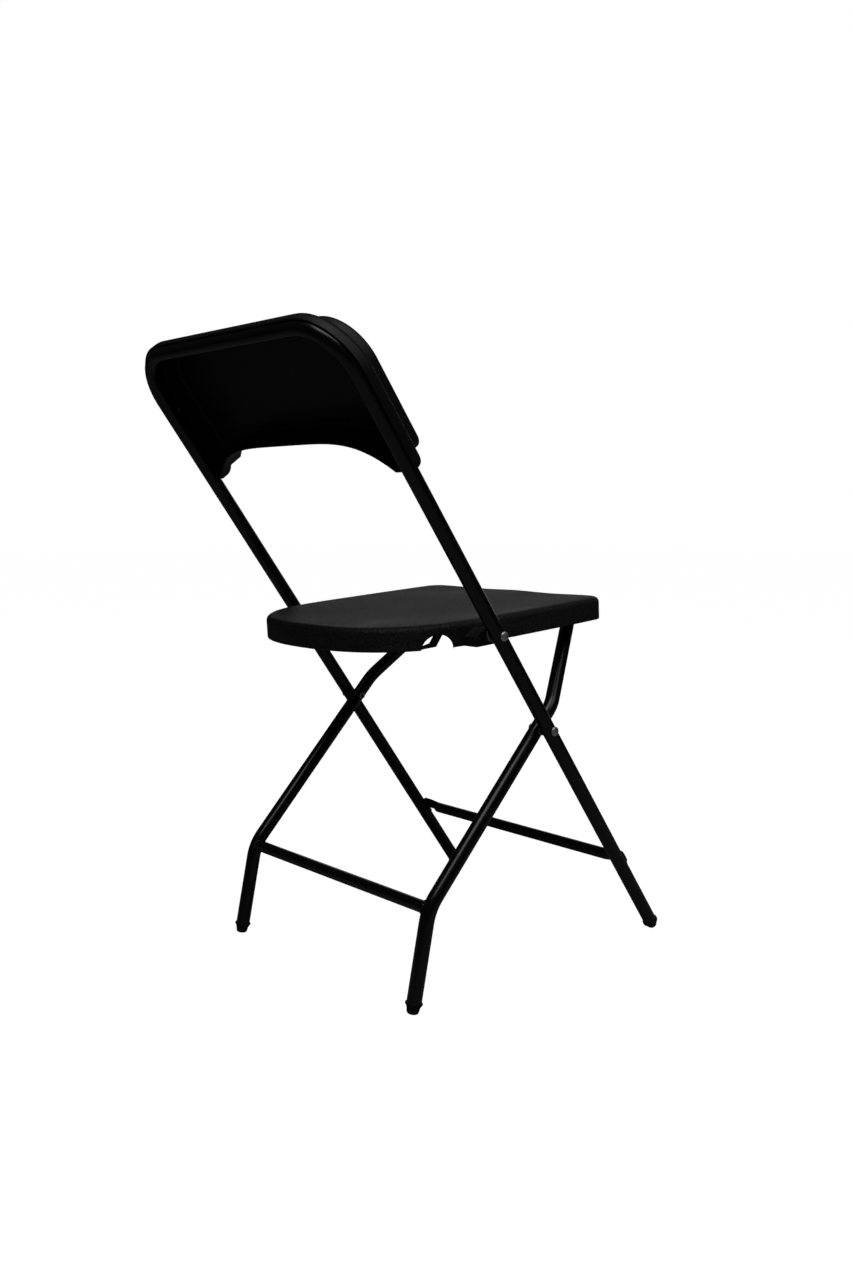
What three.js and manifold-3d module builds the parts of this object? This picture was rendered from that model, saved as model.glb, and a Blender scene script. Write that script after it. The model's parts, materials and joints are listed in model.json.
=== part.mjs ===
// Folding chair: a bent steel tube frame that carries a moulded backrest, a moulded seat that
// turns on two rivets, and a pair of crossed rear legs whose top bar runs in guides under the seat.
//
// Millimetres, +Z up. The chair faces -Y, so +X is on the left of a person who sits in it.
// The origin lies on the floor, under the middle of the bounding box.

import * as THREE from 'three';
import { mergeVertices } from 'three/addons/utils/BufferGeometryUtils.js';
import Module from 'manifold-3d';

const wasm = await Module();
wasm.setup();

// ---------------------------------------------------------------- driving dimensions

const gap = 0.3;                      // between pieces that touch
const runPast = 1;                    // of a cutter past the face it opens, and of joined solids
const degree = Math.PI / 180;

// Steel tube
const tubeRadius = 9.5;
const tubeWall = 1.2;
const stretcherRadius = 7.8;

// Front frame: one tube bent into a tall loop, standing on its two ends
const frameHalfWidth = 201.2;         // to the centre of each upright
const frameLean = 36.28 * degree;     // from the vertical, towards the back
const frameLength = 976.5;            // along the slope, from the floor to the top bar
const frameCornerRadius = 65;
const frontStretcherAt = 137;         // along the slope, from the floor
const frontStretcherForward = 9;      // in front of the uprights' centre plane

// Pivots, along the slope of the uprights from the floor
const legPivotAt = 392.8;
const seatPivotAt = 551.5;

// Rear legs
const legSideGap = 1.1;               // between a rear leg and the upright beside it
const legRake = 44.3 * degree;        // from the vertical, above the bend
const lowerLegRake = 12.1 * degree;   // from the vertical, below the bend
const legBendBelowPivot = 271.5;      // along the leg
const legBendRadius = 60;
const kneeAbovePivot = 38;            // along the leg, to where it turns inwards
const kneeRadius = 55;
const kneeInward = 22 * degree;
const legTopPastBar = 4;

// Seat
const seatTilt = 3.7 * degree;        // front edge up
const seatSideRoom = 18.5;            // between the skirt and the upright beside it
const seatFrontTaper = 2.7;           // how much narrower each side is at the front
const seatFrontPastBar = 26;          // in the middle of the front edge
const seatFrontBow = 10;              // how far the front corners lie behind the middle
const seatFrontCorner = 32;
const seatRear = 144.3;               // behind the pivot
const seatWidestAhead = 90;           // ahead of the pivot
const seatRearPower = 4;
const seatSidePower = 2.275;
const skirtBelowPivot = 11.6;
const seatTopAbovePivot = 19.5;
const seatEdgeRadius = 8;
const panWall = 3;
const panRibDepth = 9;
const panRibWidth = 2.6;
const panRibsAhead = [54.8, 124.5, 194.2];   // of the pivot
const panRibsBehind = [46.2, 89.5];          // the pivot
const panRibOffset = 35;              // of the two lengthwise ribs, from the middle of the chair
const panRibEndRoom = 15;             // from a lengthwise rib to the edge of the seat
const notchBehindPivot = 60.5;
const notchRadius = 19.5;
const notchCentreBelowSkirt = 1.9;

// Pivot blocks on the seat's sides, and what runs through them
const pivotBlockInset = 13.2;         // inside the skirt
const pivotWasherThickness = 3.1;
const pivotWasherRadius = 8;
const pivotBlockHalfLength = 25;
const pivotBlockDrop = 0.4;           // below the skirt
const pivotBlockAbovePivot = 9;
const pivotBlockSlopeLength = 13;
const pivotBlockSlopeHeight = 9;
const rivetRadius = 3.2;
const rivetClearance = 0.4;
const rivetHeadRadius = 6;
const rivetHeadHeight = 3.4;
const rivetHeadBand = 0.9;
const rivetTailRadius = 5.4;
const rivetTailThickness = 1.8;
const tubularRivetWall = 1;
const tubularRivetDepth = 6;
const rolledRivetRadius = 5;
const rolledRivetThickness = 1.4;
const bushWall = 1.9;

// Guides and slide bar
const barRadius = 5;
const rollerRadius = 8;
const rollerWidth = 12;
const rollerInset = 24;               // from the end of the bar
const rollerChamfer = 0.8;
const trackSheet = 1.5;
const trackFlange = 9;
const trackClearance = 0.35;          // over and beside the rollers
const trackFrontRun = 11;
const trackRearRun = 12;
const trackPadWidth = 7;
const trackPadEndInset = 2;
const screwRadius = 1.8;
const screwHeadRadius = 3.6;
const screwHeadHeight = 2;
const screwHeadChamfer = 0.9;
const screwLength = 8;
const screwPoint = 1.5;
const screwHoleDepth = 12;
const stopGap = 0.6;                  // legs to front stretcher, folded

// Feet
const footTipRadius = 8;
const footWear = 0.9;                 // depth of the worn flat under the tip
const footFlangeOverTube = 1.3;
const footFlangeThickness = 2.6;
const footTaper = 7;
const footPlugLength = 15;
const footPlugChamfer = 1;

// Backrest
const backWall = 2.5;
const backHeight = 198.5;             // from the rim's top to the foot of the ears
const rimFrontOverTube = 5.5;
const rimBack = 1;                    // behind the uprights' centre plane
const padFrontOverRim = 24;
const padFootInset = 11;              // above the foot of the ears
const padRivetRoom = 0.5;             // from the pad's side to the rivet's head
const padEdgeRadius = 6;
const earWidth = 37.2;                // from the rim's side to the foot of the arch
const earRadius = 10;
const archHeight = 43.5;
const archPower = 4.6;
const archSteps = 24;
const backRivetAboveEar = 103;
const backRivetRadius = 2.4;
const backRivetHeadRadius = 5;
const backRivetHeadHeight = 3.2;
const backRivetTail = 5;              // inside the tube

// ---------------------------------------------------------------- worked-out places

const upSlope = new THREE.Vector3(0, Math.sin(frameLean), Math.cos(frameLean));
const outOfSlope = new THREE.Vector3(0, -Math.cos(frameLean), Math.sin(frameLean));

// A point on the plane of the uprights: across, up the slope, and ahead of the plane.
function onFrame(across, along, ahead = 0) {
  return new THREE.Vector3(across, 0, 0).addScaledVector(upSlope, along).addScaledVector(outOfSlope, ahead);
}

const legPivot = onFrame(0, legPivotAt);
const seatPivot = onFrame(0, seatPivotAt);
const legHalfWidth = frameHalfWidth - 2 * tubeRadius - legSideGap;
const seatHalfWidth = frameHalfWidth - tubeRadius - seatSideRoom;
const seatFrontHalfWidth = seatHalfWidth - seatFrontTaper;
const pivotBlockInner = seatHalfWidth - pivotBlockInset;
const legUp = new THREE.Vector3(0, -Math.sin(legRake), Math.cos(legRake));

// The folded legs come to rest on the front stretcher, a little short of the uprights' plane.
const stopReach = tubeRadius + stretcherRadius + stopGap - frontStretcherForward;
const stopAngle = Math.asin(stopReach / (legPivotAt - frontStretcherAt));
const legFold = legRake + frameLean - stopAngle;
const seatFold = Math.PI / 2 - seatTilt + frameLean - stopAngle;

// The bar runs on a line parallel to the seat, at the depth where seat and legs fold flat together.
const barBelowPivot = (seatPivotAt - legPivotAt) * Math.sin(stopAngle);
const seatForward = new THREE.Vector3(0, -Math.cos(seatTilt), Math.sin(seatTilt));
const seatUp = new THREE.Vector3(0, Math.sin(seatTilt), Math.cos(seatTilt));
const barLine = seatPivot.clone().addScaledVector(seatUp, -barBelowPivot);
const legAboveBar = barLine.clone().sub(legPivot);
const crossing = legUp.y * seatForward.z - legUp.z * seatForward.y;
const barFromLegPivot = (legAboveBar.y * seatForward.z - legAboveBar.z * seatForward.y) / crossing;
const barCentre = legPivot.clone().addScaledVector(legUp, barFromLegPivot);
const barAhead = barCentre.clone().sub(barLine).dot(seatForward);
const barAheadFolded = barFromLegPivot - (seatPivotAt - legPivotAt) * Math.cos(stopAngle);
const barHalfWidth = legHalfWidth - (barFromLegPivot - kneeAbovePivot) * Math.tan(kneeInward);
const rollerOffset = barHalfWidth - rollerInset;
const seatFront = barAhead + seatFrontPastBar;
const blockFace = frameHalfWidth - tubeRadius - gap - pivotWasherThickness - gap;

// ---------------------------------------------------------------- materials

function finish(colour, roughness, metalness) {
  return new THREE.MeshStandardMaterial({ color: colour, roughness, metalness });
}

const powderCoat = finish(0x121213, 0.32, 0.2);
const blackPlastic = finish(0x1b1b1c, 0.62, 0);
const zincSteel = finish(0xb4b8bb, 0.3, 1);
const nylon = finish(0x2a2a2c, 0.5, 0);
const rubber = finish(0x141414, 0.75, 0);

// ---------------------------------------------------------------- solids

// A closed three.js geometry as a solid that can be joined and cut.
function solid(geometry) {
  const bare = geometry.clone();
  bare.deleteAttribute('normal');
  bare.deleteAttribute('uv');
  const merged = mergeVertices(bare, 1e-4);
  return new wasm.Manifold(new wasm.Mesh({
    numProp: 3,
    vertProperties: new Float32Array(merged.attributes.position.array),
    triVerts: new Uint32Array(merged.index.array),
  }));
}

function geometryOf(body) {
  const mesh = body.getMesh();
  const geometry = new THREE.BufferGeometry();
  geometry.setAttribute('position', new THREE.BufferAttribute(new Float32Array(mesh.vertProperties), 3));
  geometry.setIndex(new THREE.BufferAttribute(new Uint32Array(mesh.triVerts), 1));
  geometry.computeVertexNormals();
  return geometry;
}

function box(width, depth, height, x, y, z) {
  return solid(new THREE.BoxGeometry(width, depth, height).translate(x, y, z));
}

// A solid round bar along X, from one x to another.
function barAlongX(radius, from, to, y, z, sides = 16) {
  const shape = new THREE.CylinderGeometry(radius, radius, Math.abs(to - from), sides);
  return solid(shape.rotateZ(Math.PI / 2).translate((from + to) / 2, y, z));
}

// A profile of [radius, height] points turned about the Z axis.
function turned(profile, sides = 20) {
  const points = profile.map(([radius, height]) => new THREE.Vector2(radius, height));
  return new THREE.LatheGeometry(points, sides).rotateX(Math.PI / 2);
}

function arcPoints(centreX, centreY, radius, from, to, steps) {
  const points = [];
  for (let i = 0; i <= steps; i += 1) {
    const angle = from + (to - from) * i / steps;
    points.push([centreX + radius * Math.cos(angle), centreY + radius * Math.sin(angle)]);
  }
  return points;
}

// ---------------------------------------------------------------- bent tubes

// The centre line of a bent tube: straight runs are one step long and each bend is a few.
class BentLine extends THREE.Curve {
  constructor(stations) {
    super();
    this.stations = stations;
  }

  steps() {
    return this.stations.length - 1;
  }

  getPoint(t, target = new THREE.Vector3()) {
    const place = Math.min(Math.max(t, 0), 1) * this.steps();
    const index = Math.min(Math.floor(place + 1e-9), this.steps() - 1);
    return target.lerpVectors(this.stations[index].point, this.stations[index + 1].point, place - index);
  }

  getPointAt(u, target) {
    return this.getPoint(u, target);
  }

  getTangentAt(u, target = new THREE.Vector3()) {
    const index = Math.round(u * this.steps());
    return target.copy(this.stations[index].tangent);
  }
}

// Corner points and bend radii to a centre line, with the bends as arcs.
function bentLine(corners, radii, stepsPerBend = 6) {
  const stations = [];
  const directions = corners.slice(1).map((corner, i) => corner.clone().sub(corners[i]).normalize());
  stations.push({ point: corners[0], tangent: directions[0] });
  radii.forEach((radius, i) => {
    const before = directions[i];
    const after = directions[i + 1];
    const turn = before.angleTo(after);
    const start = corners[i + 1].clone().addScaledVector(before, -radius * Math.tan(turn / 2));
    const inward = after.clone().addScaledVector(before, -before.dot(after)).normalize();
    for (let step = 0; step <= stepsPerBend; step += 1) {
      const angle = turn * step / stepsPerBend;
      const point = start.clone()
        .addScaledVector(before, radius * Math.sin(angle))
        .addScaledVector(inward, radius * (1 - Math.cos(angle)));
      const tangent = before.clone().multiplyScalar(Math.cos(angle)).addScaledVector(inward, Math.sin(angle));
      stations.push({ point, tangent });
    }
  });
  stations.push({ point: corners.at(-1), tangent: directions.at(-1) });
  return new BentLine(stations);
}

// A tube of this outer radius along a line; with no wall it is a solid bar.
function tube(line, radius, wall, sides = 16) {
  const section = new THREE.Shape();
  section.absarc(0, 0, radius, 0, 2 * Math.PI);
  if (wall > 0) {
    const bore = new THREE.Path();
    bore.absarc(0, 0, radius - wall, 0, 2 * Math.PI);
    section.holes.push(bore);
  }
  return solid(new THREE.ExtrudeGeometry(section, {
    steps: line.steps(),
    curveSegments: sides / 2,
    bevelEnabled: false,
    extrudePath: line,
  }));
}

// ---------------------------------------------------------------- front frame

const footRise = footTipRadius - footWear;                       // tip's centre above the floor
const tubeEndAboveTip = footTaper + footFlangeThickness + gap;   // along the leg

// The loop's centre line, from this far up one slope to the same height on the other.
function frontFrameLine(start) {
  return bentLine([
    onFrame(-frameHalfWidth, start),
    onFrame(-frameHalfWidth, frameLength),
    onFrame(frameHalfWidth, frameLength),
    onFrame(frameHalfWidth, start),
  ], [frameCornerRadius, frameCornerRadius]);
}

const frameTubeEnd = footRise / Math.cos(frameLean) + tubeEndAboveTip;

function frontFrame() {
  let body = tube(frontFrameLine(frameTubeEnd), tubeRadius, tubeWall);
  for (const side of [-1, 1]) {
    for (const pivot of [legPivot, seatPivot]) {
      const reach = [side * (frameHalfWidth - 2 * tubeRadius), side * (frameHalfWidth + 2 * tubeRadius)];
      body = body.subtract(barAlongX(rivetRadius + rivetClearance, ...reach, pivot.y, pivot.z));
    }
    body = body.subtract(backRivetHole(side));
  }
  return body;
}

function frontStretcher() {
  const centre = onFrame(0, frontStretcherAt, frontStretcherForward);
  const half = frameHalfWidth - tubeRadius / 2;
  const outside = barAlongX(stretcherRadius, -half, half, centre.y, centre.z);
  const bore = barAlongX(stretcherRadius - tubeWall, -half - runPast, half + runPast, centre.y, centre.z);
  const uprights = tube(frontFrameLine(0), tubeRadius + gap, 0, 24);
  return outside.subtract(bore).subtract(uprights);
}

// ---------------------------------------------------------------- feet

const footFlangeRadius = tubeRadius + footFlangeOverTube;

// A foot: a plug in the tube, a flange, a taper and a rounded tip that is worn flat on the floor.
function foot(tipCentre, legDirection) {
  const flangeTop = footTaper + footFlangeThickness;
  const plugRadius = tubeRadius - tubeWall - gap;
  const profile = [
    ...arcPoints(0, 0, footTipRadius, -Math.PI / 2, -10 * degree, 5),
    [footFlangeRadius, footTaper],
    [footFlangeRadius, flangeTop],
    [plugRadius, flangeTop],
    [plugRadius, flangeTop + footPlugLength - footPlugChamfer],
    [plugRadius - footPlugChamfer, flangeTop + footPlugLength],
    [0, flangeTop + footPlugLength],
  ];
  profile[0][0] = 0;
  const upright = new THREE.Vector3(0, 0, 1);
  const turn = new THREE.Quaternion().setFromUnitVectors(upright, legDirection);
  const shape = turned(profile).applyQuaternion(turn).translate(tipCentre.x, tipCentre.y, tipCentre.z);
  const slab = 6 * footTipRadius;
  const floor = box(slab, slab, slab, tipCentre.x, tipCentre.y, -slab / 2);
  return solid(shape).subtract(floor);
}

function frontFoot(side) {
  return foot(onFrame(side * frameHalfWidth, footRise / Math.cos(frameLean)), upSlope);
}

// ---------------------------------------------------------------- rear legs

const legBend = legPivot.clone().addScaledVector(legUp, -legBendBelowPivot);
const lowerLegUp = new THREE.Vector3(0, -Math.sin(lowerLegRake), Math.cos(lowerLegRake));
const rearFootDistance = (legBend.z - footRise) / Math.cos(lowerLegRake);
const rearTip = legBend.clone().addScaledVector(lowerLegUp, -rearFootDistance);

function rearLegLine(side) {
  const across = (point, x) => new THREE.Vector3(side * x, point.y, point.z);
  const knee = legPivot.clone().addScaledVector(legUp, kneeAbovePivot);
  const top = legPivot.clone().addScaledVector(legUp, barFromLegPivot + legTopPastBar);
  const topHalfWidth = barHalfWidth - legTopPastBar * Math.tan(kneeInward);
  const end = rearTip.clone().addScaledVector(lowerLegUp, tubeEndAboveTip);
  return bentLine([
    across(end, legHalfWidth),
    across(legBend, legHalfWidth),
    across(knee, legHalfWidth),
    across(top, topHalfWidth),
  ], [legBendRadius, kneeRadius], 5);
}

function rearLeg(side) {
  const reach = [side * (legHalfWidth - 2 * tubeRadius), side * (legHalfWidth + 2 * tubeRadius)];
  const hole = barAlongX(rivetRadius + rivetClearance, ...reach, legPivot.y, legPivot.z);
  return tube(rearLegLine(side), tubeRadius, tubeWall).subtract(hole);
}

function rearFoot(side) {
  return foot(new THREE.Vector3(side * legHalfWidth, rearTip.y, rearTip.z), lowerLegUp);
}

// A bar between the two rear legs, shaped at its ends to meet them.
function betweenLegs(bar) {
  let body = bar;
  for (const side of [-1, 1]) {
    body = body.subtract(tube(rearLegLine(side), tubeRadius + gap, 0, 24));
  }
  return body;
}

// The bend's arc passes inside its corner, and the stretcher sits on the arc.
function rearStretcher() {
  const turn = legRake - lowerLegRake;
  const inside = legBendRadius * (1 / Math.cos(turn / 2) - 1);
  const middle = legUp.clone().sub(lowerLegUp).normalize();
  const centre = legBend.clone().addScaledVector(middle, inside);
  const outside = barAlongX(stretcherRadius, -legHalfWidth, legHalfWidth, centre.y, centre.z);
  const boreHalf = legHalfWidth + runPast;
  const bore = barAlongX(stretcherRadius - tubeWall, -boreHalf, boreHalf, centre.y, centre.z);
  return betweenLegs(outside.subtract(bore));
}

function slideBar() {
  return betweenLegs(barAlongX(barRadius, -barHalfWidth, barHalfWidth, barCentre.y, barCentre.z));
}

function slideRoller(side) {
  const inner = barRadius + gap;
  const half = rollerWidth / 2;
  const profile = [
    [inner, -half],
    [rollerRadius - rollerChamfer, -half],
    [rollerRadius, rollerChamfer - half],
    [rollerRadius, half - rollerChamfer],
    [rollerRadius - rollerChamfer, half],
    [inner, half],
    [inner, -half],
  ];
  const shape = turned(profile).rotateY(Math.PI / 2);
  return solid(shape.translate(side * rollerOffset, barCentre.y, barCentre.z));
}

// ---------------------------------------------------------------- rivets and washers

// A turned piece whose axis runs along X, with its head on the outside of the chair.
function acrossPiece(profile, side, at, sides = 20) {
  const shape = turned(profile, sides).rotateY(side * Math.PI / 2);
  return solid(shape.translate(0, at.y, at.z));
}

const rivetHeadSeat = frameHalfWidth + tubeRadius + gap;

// The profile of a domed head that stands on its seat, with a narrow band under the dome.
function domeHead(seat, radius, height) {
  const profile = [[radius, seat]];
  for (let i = 0; i < 4; i += 1) {
    const angle = Math.PI / 8 * i;
    const rise = (height - rivetHeadBand) * Math.sin(angle);
    profile.push([radius * Math.cos(angle), seat + rivetHeadBand + rise]);
  }
  profile.push([0, seat + height]);
  return profile;
}

function seatPivotRivet(side) {
  const end = pivotBlockInner - gap;
  return acrossPiece([
    [0, end - rivetTailThickness],
    [rivetTailRadius, end - rivetTailThickness],
    [rivetTailRadius, end],
    [rivetRadius, end],
    [rivetRadius, rivetHeadSeat],
    ...domeHead(rivetHeadSeat, rivetHeadRadius, rivetHeadHeight),
  ], side, seatPivot);
}

// Its tail is tubular and rolled outwards over the leg.
function legPivotRivet(side) {
  const end = legHalfWidth - tubeRadius - gap;
  const hollow = rivetRadius - tubularRivetWall;
  return acrossPiece([
    [0, end + tubularRivetDepth],
    [hollow, end + tubularRivetDepth],
    [hollow, end - rolledRivetThickness],
    [rolledRivetRadius, end - rolledRivetThickness],
    [rolledRivetRadius, end],
    [rivetRadius, end],
    [rivetRadius, rivetHeadSeat],
    ...domeHead(rivetHeadSeat, rivetHeadRadius, rivetHeadHeight),
  ], side, legPivot);
}

function washer(side, at, from, thickness, outer, inner) {
  return acrossPiece([
    [inner, from],
    [outer, from],
    [outer, from + thickness],
    [inner, from + thickness],
    [inner, from],
  ], side, at);
}

function seatPivotWasher(side) {
  const inner = rivetRadius + rivetClearance;
  return washer(side, seatPivot, blockFace + gap, pivotWasherThickness, pivotWasherRadius, inner);
}

function legPivotWasher(side) {
  const inner = rivetRadius + rivetClearance;
  const from = legHalfWidth + tubeRadius + gap;
  return washer(side, legPivot, from, legSideGap - 2 * gap, pivotWasherRadius, inner);
}

function seatPivotBush(side) {
  const inner = rivetRadius + rivetClearance;
  const from = pivotBlockInner + gap;
  return washer(side, seatPivot, from, blockFace - gap - from, inner + bushWall, inner);
}

// ---------------------------------------------------------------- backrest

// The rim wraps the tube, and the pad stands ahead of the rim.
const backOverhang = tubeRadius + backWall;
const backHalfWidth = frameHalfWidth + backOverhang;
const backTopAt = frameLength + backOverhang;
const earBottomAt = backTopAt - backHeight;
const archHalfWidth = backHalfWidth - earWidth;
const backRivetAt = earBottomAt + backRivetAboveEar;
const rimFront = tubeRadius + rimFrontOverTube;
const padFront = rimFront + padFrontOverRim;
const padInset = backOverhang + backRivetHeadRadius + padRivetRoom;

// From across / up the slope / ahead of the plane to the chair's frame.
const frameBasis = new THREE.Matrix4().makeBasis(new THREE.Vector3(1, 0, 0), upSlope, outOfSlope);

// The backrest's outline. Its sides and top, the foot of its ears, and its arch each move inwards.
function backOutline(sideInset, footInset, archInset) {
  const halfWidth = backHalfWidth - sideInset;
  const top = backTopAt - sideInset;
  const corner = frameCornerRadius + backOverhang - sideInset;
  const bottom = earBottomAt + footInset;
  const archFoot = earBottomAt + archInset;
  const archHalf = archHalfWidth + archInset;
  const archSide = archHalf * (1 - (bottom - archFoot) / archHeight) ** (1 / archPower);
  const outline = new THREE.Shape();
  outline.moveTo(-archSide, bottom);
  for (let i = 1; i < archSteps; i += 1) {
    const x = -archSide * Math.cos(Math.PI * i / archSteps);
    outline.lineTo(x, archFoot + archHeight * (1 - Math.abs(x / archHalf) ** archPower));
  }
  outline.lineTo(archSide, bottom);
  outline.absarc(halfWidth - earRadius, bottom + earRadius, earRadius, -Math.PI / 2, 0);
  outline.absarc(halfWidth - corner, top - corner, corner, 0, Math.PI / 2);
  outline.absarc(corner - halfWidth, top - corner, corner, Math.PI / 2, Math.PI);
  outline.absarc(earRadius - halfWidth, bottom + earRadius, earRadius, Math.PI, 1.5 * Math.PI);
  return outline;
}

function backLayer(outline, from, to, edge) {
  const shape = new THREE.ExtrudeGeometry(outline, {
    depth: to - from - edge,
    curveSegments: 7,
    bevelEnabled: edge > 0,
    bevelSize: edge,
    bevelOffset: -edge,
    bevelThickness: edge,
    bevelSegments: 3,
  });
  return solid(shape.translate(0, 0, from));
}

function backRivetHole(side) {
  const shape = new THREE.CylinderGeometry(backRivetRadius + gap, backRivetRadius + gap, padFront, 16);
  shape.rotateX(Math.PI / 2).translate(side * frameHalfWidth, backRivetAt, padFront / 2);
  return solid(shape.applyMatrix4(frameBasis));
}

function backrestShell() {
  const rimOutline = backOutline(0, 0, 0);
  const padOutline = backOutline(padInset, padFootInset, 0);
  const rimInside = backOutline(backWall, backWall, backWall);
  const padInside = backOutline(padInset + backWall, padFootInset + backWall, backWall);
  const rim = backLayer(rimOutline, -rimBack, rimFront, 0);
  const pad = backLayer(padOutline, rimFront - padEdgeRadius - runPast, padFront, padEdgeRadius);
  const rimHollow = backLayer(rimInside, -rimBack - runPast, rimFront - backWall, 0);
  const padHollow = backLayer(padInside, 0, padFront - backWall, padEdgeRadius - backWall);
  const shell = rim.add(pad).subtract(rimHollow).subtract(padHollow);
  const placed = solid(geometryOf(shell).applyMatrix4(frameBasis));
  let body = placed.subtract(tube(frontFrameLine(0), tubeRadius + gap, 0, 24));
  for (const side of [-1, 1]) {
    body = body.subtract(backRivetHole(side));
  }
  return body;
}

function backrestRivet(side) {
  const tail = tubeRadius - tubeWall - backRivetTail;
  const profile = [
    [0, tail],
    [backRivetRadius, tail],
    [backRivetRadius, rimFront + gap],
    ...domeHead(rimFront + gap, backRivetHeadRadius, backRivetHeadHeight),
  ];
  const shape = turned(profile, 16).translate(side * frameHalfWidth, backRivetAt, 0);
  return solid(shape.applyMatrix4(frameBasis));
}

// ---------------------------------------------------------------- seat

// The seat's own frame: x across, y behind the pivot, z above it, all along the tilted seat.
const seatBasis = new THREE.Matrix4()
  .makeBasis(new THREE.Vector3(1, 0, 0), seatForward.clone().negate(), seatUp)
  .setPosition(seatPivot);

const frontEdgeSteps = 6;
const sideSteps = 4;
const rearSteps = 22;

// Half of the plan, from the middle of the front edge to the middle of the rear edge.
function seatHalfOutline(inset) {
  const wide = seatHalfWidth - inset;
  const front = seatFrontHalfWidth - inset;
  const corner = seatFrontCorner - inset;
  const frontEdge = (x) => -seatFront + inset + seatFrontBow * (x / front) ** 2;
  const cornerX = front - corner;
  const cornerY = frontEdge(cornerX) + corner;
  const points = [];
  for (let i = 0; i < frontEdgeSteps; i += 1) {
    const x = cornerX * i / frontEdgeSteps;
    points.push([x, frontEdge(x)]);
  }
  points.push(...arcPoints(cornerX, cornerY, corner, -Math.PI / 2, 0, 7));
  for (let i = 1; i < sideSteps; i += 1) {
    const along = i / sideSteps;
    const y = cornerY + (-seatWidestAhead - cornerY) * along;
    points.push([wide - (wide - front) * (1 - along) ** 2, y]);
  }
  const rear = seatRear - inset + seatWidestAhead;
  for (let i = 0; i <= rearSteps; i += 1) {
    const angle = Math.PI / 2 * i / rearSteps;
    const x = wide * Math.max(Math.cos(angle), 0) ** (2 / seatSidePower);
    points.push([x, -seatWidestAhead + rear * Math.sin(angle) ** (2 / seatRearPower)]);
  }
  points.at(-1)[0] = 0;
  return points;
}

function seatLayer(inset, from, to, edge) {
  const half = seatHalfOutline(inset);
  const other = half.slice(1, -1).reverse().map(([x, y]) => [-x, y]);
  const outline = new THREE.Shape([...half, ...other].map(([x, y]) => new THREE.Vector2(x, y)));
  const shape = new THREE.ExtrudeGeometry(outline, {
    depth: to - from - edge,
    bevelEnabled: true,
    bevelSize: edge,
    bevelOffset: -edge,
    bevelThickness: edge,
    bevelSegments: 3,
  });
  return solid(shape.translate(0, 0, from));
}

const trackBottom = -barBelowPivot + rollerRadius + trackClearance;   // the web over the rollers
const trackTop = trackBottom + trackSheet;
const trackInnerHalf = rollerWidth / 2 + trackClearance;
const trackOuterHalf = trackInnerHalf + trackSheet;
const trackFront = -(barAhead + trackFrontRun);
const trackRear = -(barAheadFolded - trackRearRun);
const padOffset = trackOuterHalf + trackFlange / 2;
const trackScrewInset = 18;
const underTop = seatTopAbovePivot - panWall;

function seatRibs() {
  const ribs = [];
  const ribBottom = underTop - panRibDepth;
  const ribHeight = panRibDepth + runPast;
  const ribZ = ribBottom + ribHeight / 2;
  for (const y of [...panRibsAhead.map((ahead) => -ahead), ...panRibsBehind]) {
    ribs.push(box(2 * seatHalfWidth, panRibWidth, ribHeight, 0, y, ribZ));
  }
  const length = seatFront + seatRear - 2 * panRibEndRoom;
  for (const x of [-panRibOffset, panRibOffset]) {
    ribs.push(box(panRibWidth, length, ribHeight, x, (seatRear - seatFront) / 2, ribZ));
  }
  return ribs;
}

function trackPads(side) {
  const bottom = trackTop + gap;
  const height = underTop + runPast - bottom;
  const length = trackRear - trackFront - 2 * trackPadEndInset;
  const middle = (trackRear + trackFront) / 2;
  return [-1, 1].map((edge) => {
    const x = side * rollerOffset + edge * padOffset;
    return box(trackPadWidth, length, height, x, middle, bottom + height / 2);
  });
}

// A block in the seat's side that carries the pivot, with its upper corners sloped off.
function pivotBlock(side) {
  const low = -skirtBelowPivot - pivotBlockDrop;
  const shoulder = pivotBlockAbovePivot - pivotBlockSlopeHeight;
  const top = pivotBlockHalfLength - pivotBlockSlopeLength;
  const outline = new THREE.Shape([
    new THREE.Vector2(-pivotBlockHalfLength, low),
    new THREE.Vector2(pivotBlockHalfLength, low),
    new THREE.Vector2(pivotBlockHalfLength, shoulder),
    new THREE.Vector2(top, pivotBlockAbovePivot),
    new THREE.Vector2(-top, pivotBlockAbovePivot),
    new THREE.Vector2(-pivotBlockHalfLength, shoulder),
  ]);
  const depth = blockFace - pivotBlockInner;
  const shape = new THREE.ExtrudeGeometry(outline, { depth, bevelEnabled: false });
  shape.translate(0, 0, pivotBlockInner).rotateX(Math.PI / 2).rotateZ(side * Math.PI / 2);
  return solid(shape);
}

function skirtNotch(side) {
  const inner = rollerOffset + trackOuterHalf + trackFlange + gap;
  const centreZ = -skirtBelowPivot - notchCentreBelowSkirt;
  return barAlongX(notchRadius, side * inner, side * frameHalfWidth, notchBehindPivot, centreZ, 24);
}

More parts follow.
